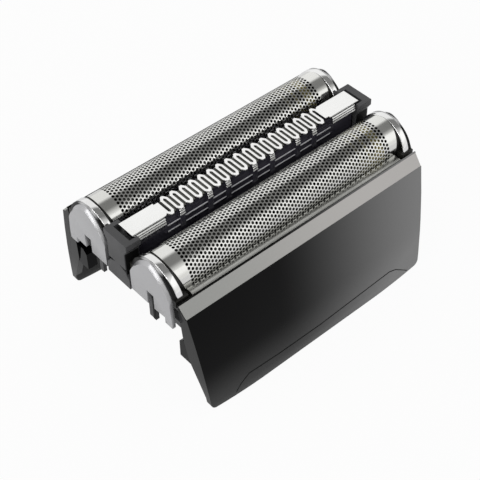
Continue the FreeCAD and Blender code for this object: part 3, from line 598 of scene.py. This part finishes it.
def draw_cap_outline(cap):
    """Flat cap: an arch with a narrow crown, two legs beside the guide slot, and a stepped foot."""
    start = cap.verts.new((CAP_BACK_X, FOIL_Y + CAP_HALF, CAP_Z))
    bmesh.ops.spin(cap, geom=[start], cent=(0, FOIL_Y, CAP_Z), axis=(1, 0, 0), angle=math.pi,
                   steps=CAP_STEPS)
    for vert in cap.verts:
        share = (vert.co.z - CAP_Z) / CAP_HALF
        width = CAP_HALF * max(0.0, 1 - max(0.0, share) ** CAP_CROWN_POWER) ** CAP_SIDE_POWER
        vert.co.z = CAP_Z + share * CAP_RISE
        vert.co.y = FOIL_Y + math.copysign(width, vert.co.y - FOIL_Y)
    inner_end = min(cap.verts, key=lambda vert: vert.co.y)
    outer_end = max(cap.verts, key=lambda vert: vert.co.y)
    slot_in = FOIL_Y - CAP_SLOT_HALF
    slot_out = FOIL_Y + CAP_SLOT_HALF
    corners = [(FOIL_Y - CAP_HALF, CAP_LEG_Z), (slot_in, CAP_LEG_Z), (slot_in, CAP_SLOT_TOP),
               (slot_out, CAP_SLOT_TOP), (slot_out, CAP_LEG_Z), (CAP_FOOT_IN, CAP_OUTER_LEG_Z),
               (CAP_FOOT_IN, CAP_FOOT_BOTTOM), (CAP_FOOT_OUT, CAP_FOOT_BOTTOM),
               (CAP_FOOT_OUT, CAP_FOOT_TOP)]
    legs = [cap.verts.new((CAP_BACK_X, y, z)) for y, z in corners]
    join_in_row(cap, [inner_end, *legs, outer_end])
    return bmesh.ops.contextual_create(cap, geom=cap.edges[:])["faces"]


def make_cap_shape():
    """End cap: its outline thickened to a rim, then drawn in to a chamfered face."""
    cap = bmesh.new()
    face = draw_cap_outline(cap)
    for step in (CAP_RIM, CAP_FACE_X - CAP_BACK_X - CAP_RIM):
        front = bmesh.ops.extrude_face_region(cap, geom=face)["geom"]
        bmesh.ops.translate(cap, verts=verts_in(front), vec=(step, 0, 0))
        bmesh.ops.delete(cap, geom=face, context="FACES_ONLY")
        face = [part for part in front if isinstance(part, bmesh.types.BMFace)]
    front_verts = set(verts_in(front))
    # The face's crown comes down by the chamfer, and its shoulders draw in most halfway up
    for vert in front_verts:
        share = max(0.0, (vert.co.z - CAP_Z) / CAP_RISE)
        tuck = math.copysign(CAP_SHOULDER_TUCK, vert.co.y - FOIL_Y)
        vert.co.z -= CAP_CHAMFER * share
        vert.co.y -= tuck * min(1.0, 2 * share) * (1 - share ** 4)
    outline = [edge for edge in cap.edges if all(vert in front_verts for vert in edge.verts)]
    rim = [edge for edge in outline if min(vert.co.z for vert in edge.verts) > CAP_Z - LEVEL]
    low = [edge for edge in outline if edge not in rim]
    round_edges(cap, rim, CAP_RIM_ROUNDING, 3)
    round_edges(cap, [edge for edge in low if edge.is_valid], CAP_LEG_ROUNDING, 2)
    return cap


ring_shape = make_arch(x=(22.1, 23.15), half_width=5.03, centre_z=19.56, top=25.10, wall=0.5,
                       rounding=0.13, lean_near=0.44, lean_far=0.44)
# Black arch behind each ring that paints the shade in the gap between ring and cap
gap_shade_shape = make_arch(x=(23.1, CAP_BACK_X), half_width=4.8, centre_z=20.2, top=24.98, wall=1.0,
                       rounding=0.04, lean_near=0.5, lean_far=0.0)
cap_shape = make_cap_shape()
for side_name, side in SIDES.items():
    for end_name, end in ENDS.items():
        body = f"{side_name}_foil_unit"
        corner = f"{side_name}_{end_name}"
        finish_piece(f"{corner}_bright_ring", mirrored(ring_shape, side, end), bright_steel, body,
                     [f"{corner}_arch_ring"], sharp_angle=40)
        finish_piece(f"{corner}_arch_gap_shade", mirrored(gap_shade_shape, side, end), gap_shade_black, body)
        finish_piece(f"{corner}_moulded_cap", mirrored(cap_shape, side, end), grey_cap, body,
                     [f"{corner}_end_cap"], sharp_angle=40)


# Polished rails along the foils' outer edges

RAIL_HALF = 20.6
RAIL_Y = (11.2, 12.6)
RAIL_Z = (20.5, 21.05)
RAIL_ROUNDING = 0.1

rail_shape = make_bar((-RAIL_HALF, RAIL_HALF), RAIL_Y, RAIL_Z, RAIL_ROUNDING)
for side_name, side in SIDES.items():
    finish_piece(f"{side_name}_polished_rail", mirrored(rail_shape, side), rail_steel,
                 f"{side_name}_foil_unit", [f"{side_name}_outer_rail"])


# Comb trimmer: the serpentine strip, the folds below its edges, and light grey strips on its carrier that
# paint the highlights of its glossy edges

COMB_TOP = 25.1
COMB_SHEET = 0.2
COMB_ROUNDING = 0.03
TURNS = 18
TURN_PITCH = 1.73
TURN_LEG = TURN_PITCH / 4
FIRST_TURN_X = -(TURNS - 1) * TURN_PITCH / 2 - TURN_LEG
WIRE = 0.40
TIP_HALF = 0.2
TIP_Y = 1.94
TIP_SHOULDER_Y = 1.3
GAP_Y = 1.4
GAP_SHOULDER_Y = 1.12
PANEL_CORNER_X = 16.1
PANEL_CORNER_STEP = 0.05
PANEL_END_X = 22.15
PANEL_HALF_WIDTH = 1.6

# Folds hang under the panels and under the front tips of these turns, each so far out and so far down
FRONT_TABS = (2, 5, 7, 10, 12, 15, 17)
TAB_HALF = 0.45
FOLD_PLACES = ((0.14, 0.36), (0.24, 0.72), (0.34, 1.10))
FOLD_INSET = 0.3
FOLD_END_INSET = 0.9
FOLD_TILT = 28
FOLD_Y = (-0.05, 0.05)
FOLD_Z = (-0.13, 0.13)
FOLD_ROUNDING = 0.03

# Where the light grey strips that paint the carrier's edge highlights lie, and at which heights
CARRIER_HIGHLIGHT_Y = (1.66, 1.80)
CARRIER_HIGHLIGHT_HALF = 0.07
CARRIER_HIGHLIGHT_ROUNDING = 0.03
CARRIER_HIGHLIGHT_LEVELS = {"upper": 23.17, "lower": 21.97}


def draw_comb_half(comb):
    """Front edge of the strip, from the left panel's end over the turns to the right panel's end."""
    outer = TURN_LEG + WIRE / 2
    inner = TURN_LEG - WIRE / 2
    gap = 2 * TURN_LEG
    turn = [(-outer, -TIP_SHOULDER_Y), (-TIP_HALF, -TIP_Y), (TIP_HALF, -TIP_Y),
            (outer, -TIP_SHOULDER_Y), (gap - inner, GAP_SHOULDER_Y), (gap, GAP_Y),
            (gap + inner, GAP_SHOULDER_Y)]
    join_in_row(comb, [comb.verts.new((FIRST_TURN_X + x, y, COMB_TOP)) for x, y in turn])
    repeat(comb, comb.verts[:] + comb.edges[:], (TURN_PITCH, 0, 0), TURNS)
    ends = [vert for vert in comb.verts if len(vert.link_edges) == 1]
    starts = sorted((vert for vert in ends if vert.co.y < 0), key=lambda vert: vert.co.x)
    stops = sorted((vert for vert in ends if vert.co.y > 0), key=lambda vert: vert.co.x)
    for stop, start in zip(stops, starts[1:]):
        comb.edges.new((stop, start))
    left = [(-PANEL_END_X, -PANEL_HALF_WIDTH),
            (-PANEL_CORNER_X - PANEL_CORNER_STEP, -PANEL_HALF_WIDTH)]
    right = [(stops[-1].co.x, -TIP_SHOULDER_Y), (PANEL_CORNER_X, -TIP_SHOULDER_Y),
             (PANEL_CORNER_X, -PANEL_HALF_WIDTH), (PANEL_END_X, -PANEL_HALF_WIDTH)]
    join_in_row(comb, [comb.verts.new((x, y, COMB_TOP)) for x, y in left] + [starts[0]])
    join_in_row(comb, [stops[-1]] + [comb.verts.new((x, y, COMB_TOP)) for x, y in right])


def make_comb_strip():
    """Serpentine strip between two panels: the front half, and the same turned half round."""
    comb = bmesh.new()
    draw_comb_half(comb)
    other = bmesh.ops.duplicate(comb, geom=comb.verts[:] + comb.edges[:])["geom"]
    bmesh.ops.rotate(comb, verts=verts_in(other), matrix=rotation(180, "Z"))
    loose = [vert for vert in comb.verts if len(vert.link_edges) == 1]
    for end in ENDS.values():
        comb.edges.new([vert for vert in loose if vert.co.x * end > 0])
    face = bmesh.ops.contextual_create(comb, geom=comb.edges[:])["faces"]
    lower = verts_in(bmesh.ops.extrude_face_region(comb, geom=face)["geom"])
    bmesh.ops.translate(comb, verts=lower, vec=(0, 0, -COMB_SHEET))
    rim = [edge for edge in comb.edges
           if all(abs(vert.co.z - COMB_TOP) < LEVEL for vert in edge.verts)]
    round_edges(comb, rim, COMB_ROUNDING, 2)
    return comb


def add_folds(comb, x, side):
    """Three bright folds below an edge of the strip, leaning outwards."""
    for reach, drop in FOLD_PLACES:
        fold = make_bar(x, FOLD_Y, FOLD_Z, FOLD_ROUNDING, segments=1)
        bmesh.ops.rotate(fold, verts=fold.verts, matrix=rotation(FOLD_TILT, "X"))
        bmesh.ops.translate(fold, verts=fold.verts, vec=(0, PANEL_HALF_WIDTH + reach, COMB_TOP - drop))
        bmesh.ops.scale(fold, vec=(1, side, 1), verts=fold.verts)
        mesh = bpy.data.meshes.new("fold")
        fold.to_mesh(mesh)
        comb.from_mesh(mesh)
        fold.free()
        bpy.data.meshes.remove(mesh)


def front_fold_runs():
    """Where the folds run along X at the front edge: under the panels and under some tips."""
    runs = [(-PANEL_END_X + FOLD_INSET, -PANEL_CORNER_X - FOLD_INSET),
            (PANEL_CORNER_X + FOLD_INSET, PANEL_END_X - FOLD_END_INSET)]
    for number in FRONT_TABS:
        x = FIRST_TURN_X + (number - 1) * TURN_PITCH
        runs.append((x - TAB_HALF, x + TAB_HALF))
    return runs


comb_shape = make_comb_strip()
for start, stop in front_fold_runs():
    add_folds(comb_shape, (start, stop), SIDES["front"])
    add_folds(comb_shape, (-stop, -start), SIDES["rear"])
finish_piece("trimmer_comb_strip", comb_shape, comb_steel, "trimmer_unit",
             ["trimmer_comb"], sharp_angle=20)

for side_name, side in SIDES.items():
    for level_name, z in CARRIER_HIGHLIGHT_LEVELS.items():
        strip = make_bar((-PANEL_CORNER_X, PANEL_CORNER_X), CARRIER_HIGHLIGHT_Y,
                         (z - CARRIER_HIGHLIGHT_HALF, z + CARRIER_HIGHLIGHT_HALF), CARRIER_HIGHLIGHT_ROUNDING,
                         segments=2)
        finish_piece(f"{side_name}_{level_name}_carrier_strip", mirrored(strip, side), painted_highlight_plastic,
                     "trimmer_unit")


# Matt black strips that paint the shade in the guide slots and in the recesses at the sides of the risers

SHADE_STRIP_X = (23.13, 23.19)
SHADE_STRIP_FAR_Y = 7.02
SHADE_STRIP_TOP = 18.72
SHADE_STRIP_ROUNDING = 0.02

painted_shade_strips = {
    "post_shade_strip": make_bar(SHADE_STRIP_X, (6.42, SHADE_STRIP_FAR_Y), (12.7, SHADE_STRIP_TOP),
                           SHADE_STRIP_ROUNDING, segments=1),
    "slot_top_shade_strip": make_bar(SHADE_STRIP_X, (5.5, SHADE_STRIP_FAR_Y), (18.45, SHADE_STRIP_TOP),
                               SHADE_STRIP_ROUNDING, segments=1),
    "riser_recess_shade": make_bar((21.6, 23.95), (1.93, 1.995), (18.75, 22.75),
                             SHADE_STRIP_ROUNDING, segments=1),
}
for side_name, side in SIDES.items():
    for end_name, end in ENDS.items():
        for strip_name, shape in painted_shade_strips.items():
            finish_piece(f"{side_name}_{end_name}_{strip_name}", mirrored(shape, side, end),
                         shade_and_line_black, "cassette")


# Fine raised line near the foot of each cover, drawn from left to right on the front one

COVER_LINE = ((-17.29, -17.42, 0.87), (-16.31, -17.33, 1.85), (-14.63, -17.23, 2.83),
              (-8.58, -17.27, 2.5), (-0.07, -17.27, 2.44), (15.31, -17.19, 3.19),
              (16.79, -17.24, 2.74), (19.5, -17.41, 0.75))
LINE_HEIGHT = 0.14
LINE_SLOPE = 0.02
LINE_THICKNESS = 0.1


def make_cover_line():
    """Raised line that follows the slope of the front cover."""
    line = bmesh.new()
    join_in_row(line, [line.verts.new(place) for place in COVER_LINE])
    wall = bmesh.ops.extrude_edge_only(line, edges=line.edges[:])["geom"]
    bmesh.ops.translate(line, verts=verts_in(wall), vec=(0, LINE_SLOPE, LINE_HEIGHT))
    bmesh.ops.translate(line, verts=line.verts, vec=(0, -LINE_THICKNESS / 2, 0))
    bmesh.ops.recalc_face_normals(line, faces=line.faces)
    bmesh.ops.solidify(line, geom=line.faces[:], thickness=LINE_THICKNESS)
    return line


line_shape = make_cover_line()
finish_piece("front_cover_line", mirrored(line_shape, 1), shade_and_line_black, "cassette")
finish_piece("rear_cover_line", mirrored(line_shape, -1, -1), shade_and_line_black, "cassette")


# Wound springs

SPRING_WIRE = 0.1
SPRING_RADIUS = 0.52
SPRING_TURNS = 6
STEPS_PER_TURN = 18


def make_wound_spring(x, y, bottom, top):
    """Small wound spring: a wire section spun with a rise at every step."""
    spring = bmesh.new()
    bmesh.ops.create_circle(spring, cap_ends=True, segments=8, radius=SPRING_WIRE)
    bmesh.ops.rotate(spring, verts=spring.verts, matrix=rotation(90, "X"))
    bmesh.ops.translate(spring, verts=spring.verts, vec=(x + SPRING_RADIUS, y, bottom + SPRING_WIRE))
    steps = SPRING_TURNS * STEPS_PER_TURN
    rise = (top - bottom - 2 * SPRING_WIRE) / steps
    bmesh.ops.spin(spring, geom=spring.faces[:], cent=(x, y, 0), axis=(0, 0, 1),
                   dvec=(0, 0, rise), angle=SPRING_TURNS * 2 * math.pi, steps=steps)
    return spring


def add_spring(name, node):
    """Wound spring in the place of a solid one."""
    low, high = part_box(node)
    centre = (low + high) / 2 / MM
    shape = make_wound_spring(centre.x, centre.y, low.z / MM, high.z / MM)
    piece = finish_piece(name, shape, spring_steel, "cassette", [node],
                         sharp_angle=60)
    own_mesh(piece)


for end_name in ENDS:
    for side_name in SIDES:
        add_spring(f"{side_name}_{end_name}_wound_spring",
                   f"{side_name}_{end_name}_foil_spring")
    add_spring(f"{end_name}_trimmer_wound_spring", f"{end_name}_trimmer_spring")


# Camera, with its place in millimetres and its tilt, roll and heading in degrees

CAMERA_PLACE = (-83.302, -95.801, 138.137)
CAMERA_TURN = (44.2713, 0.6599, -41.2788)
CAMERA_LENS = 86.137

bpy.context.scene.view_settings.view_transform = "Standard"
camera_data = bpy.data.cameras.new("camera")
camera_data.lens = CAMERA_LENS
camera_data.sensor_width = 36.0
camera_data.clip_start = 0.005
camera_data.clip_end = 10.0
camera = bpy.data.objects.new("camera", camera_data)
camera_turn = Euler([math.radians(degrees) for degrees in CAMERA_TURN])
camera.matrix_world = Matrix.LocRotScale(Vector(CAMERA_PLACE) * MM, camera_turn, None)
bpy.context.scene.collection.objects.link(camera)
bpy.context.scene.camera = camera


# Studio: a pale floor and a striped ceiling that the polished steel mirrors, in metres

FLOOR_HALF = 3.0
FLOOR_DROP = 0.0001
FLOOR_TONE = 0.6
FLOOR_GLOW = 0.95
FLOOR_MIRRORED = 0.5
ROOM_LIGHT = 0.8
CEILING_REAR_LEAN = 1.0
CEILING_FRONT_LEAN = -1.5
CEILING_STOPS = ((0.20, (0.96, 0.96, 0.95)), (0.29, (0.22, 0.22, 0.2156)),
                 (0.55, (0.22, 0.22, 0.2156)), (0.71, (0.80, 0.80, 0.784)),
                 (0.88, (0.80, 0.80, 0.784)), (0.97, (0.55, 0.55, 0.53)))
LIT_POINT = (0, 0, 0.02)


def seen_directly(tree, mirrored_share):
    """One for camera and transmission rays, and a share for glossy ones."""
    path = tree.nodes.new("ShaderNodeLightPath")
    glossy = combine(tree, "MULTIPLY", path.outputs["Is Glossy Ray"], mirrored_share)
    mirrored_too = combine(tree, "MAXIMUM", path.outputs["Is Camera Ray"], glossy)
    return combine(tree, "MAXIMUM", mirrored_too, path.outputs["Is Transmission Ray"])


def mix_shaders(tree, share, plain, seen, output):
    """Blend a plain shader into the one that is seen, and put the result out."""
    blend_in = tree.nodes.new("ShaderNodeMixShader")
    tree.links.new(share, blend_in.inputs["Fac"])
    tree.links.new(plain, blend_in.inputs[1])
    tree.links.new(seen, blend_in.inputs[2])
    tree.links.new(blend_in.outputs["Shader"], tree.nodes[output].inputs["Surface"])


def make_floor_finish():
    """Matt floor that glows pale where it is seen, and keeps the object's shadow faintly."""
    finish, tree, shader = new_finish("studio floor")
    set_inputs(shader, {"Base Color": (FLOOR_TONE, FLOOR_TONE, FLOOR_TONE, 1), "Roughness": 0.9,
                        "Specular IOR Level": 0.0})
    glow = tree.nodes.new("ShaderNodeEmission")
    set_inputs(glow, {"Color": (1, 1, 1, 1), "Strength": 1.0})
    share = combine(tree, "MULTIPLY", seen_directly(tree, FLOOR_MIRRORED), FLOOR_GLOW)
    mix_shaders(tree, share, shader.outputs["BSDF"], glow.outputs["Emission"], "Material Output")
    return finish


def add_floor():
    """Wide floor just below the feet."""
    shape = bmesh.new()
    bmesh.ops.create_grid(shape, x_segments=1, y_segments=1, size=FLOOR_HALF)
    mesh = bpy.data.meshes.new("floor")
    shape.to_mesh(mesh)
    shape.free()
    mesh.materials.append(make_floor_finish())
    floor = bpy.data.objects.new("floor", mesh)
    floor.location = (0, 0, -FLOOR_DROP)
    bpy.context.scene.collection.objects.link(floor)


def ceiling_colour(tree):
    """Colour by the lean from straight up, in radians, from the rear to the front."""
    direction = tree.nodes.new("ShaderNodeTexCoord")
    parts = tree.nodes.new("ShaderNodeSeparateXYZ")
    tree.links.new(direction.outputs["Generated"], parts.inputs["Vector"])
    lean = combine(tree, "ARCTAN2", parts.outputs["Y"], parts.outputs["Z"])
    share = tree.nodes.new("ShaderNodeMapRange")
    set_inputs(share, {"From Min": CEILING_REAR_LEAN, "From Max": CEILING_FRONT_LEAN})
    tree.links.new(lean, share.inputs["Value"])
    ramp = tree.nodes.new("ShaderNodeValToRGB")
    stops = ramp.color_ramp.elements
    stops.remove(stops[1])
    stops[0].position = CEILING_STOPS[0][0]
    for position, _ in CEILING_STOPS[1:]:
        stops.new(position)
    for stop, (_, colour) in zip(stops, CEILING_STOPS):
        stop.color = (*colour, 1)
    tree.links.new(share.outputs["Result"], ramp.inputs["Fac"])
    return ramp.outputs["Color"]


def make_world():
    """Even light from all around, which the camera sees white and polished steel as the ceiling.

    A mix node repeats its socket names for each kind of value, so those for colours go by number.
    """
    world = bpy.data.worlds.new("studio")
    world.use_nodes = True
    tree = world.node_tree
    surround = tree.nodes["Background"]
    set_inputs(surround, {"Color": (1, 1, 1, 1), "Strength": ROOM_LIGHT})
    backdrop = tree.nodes.new("ShaderNodeBackground")
    backdrop.inputs["Strength"].default_value = 1.0
    watched = tree.nodes.new("ShaderNodeLightPath")
    tone = tree.nodes.new("ShaderNodeMix")
    tone.data_type = "RGBA"
    factor, mirrored_tone, seen_tone = (tone.inputs[number] for number in (0, 6, 7))
    seen_tone.default_value = (1, 1, 1, 1)
    tree.links.new(watched.outputs["Is Camera Ray"], factor)
    tree.links.new(ceiling_colour(tree), mirrored_tone)
    tree.links.new(tone.outputs[2], backdrop.inputs["Color"])
    mix_shaders(tree, seen_directly(tree, 1.0), surround.outputs["Background"],
                backdrop.outputs["Background"], "World Output")
    bpy.context.scene.world = world


def add_softbox(name, place, width, height, power):
    """Rectangular lamp that faces the object."""
    data = bpy.data.lights.new(name, "AREA")
    data.shape = "RECTANGLE"
    data.size = width
    data.size_y = height
    data.energy = power
    lamp = bpy.data.objects.new(name, data)
    lamp.location = place
    lamp.rotation_mode = "QUATERNION"
    lamp.rotation_quaternion = (Vector(LIT_POINT) - Vector(place)).to_track_quat("-Z", "Y")
    bpy.context.scene.collection.objects.link(lamp)


add_floor()
make_world()
add_softbox("key softbox", (-0.46, -0.02, 0.27), width=0.50, height=0.14, power=0.95)
add_softbox("front softbox", (0.32, -0.50, 0.20), width=0.6, height=0.5, power=0.3)
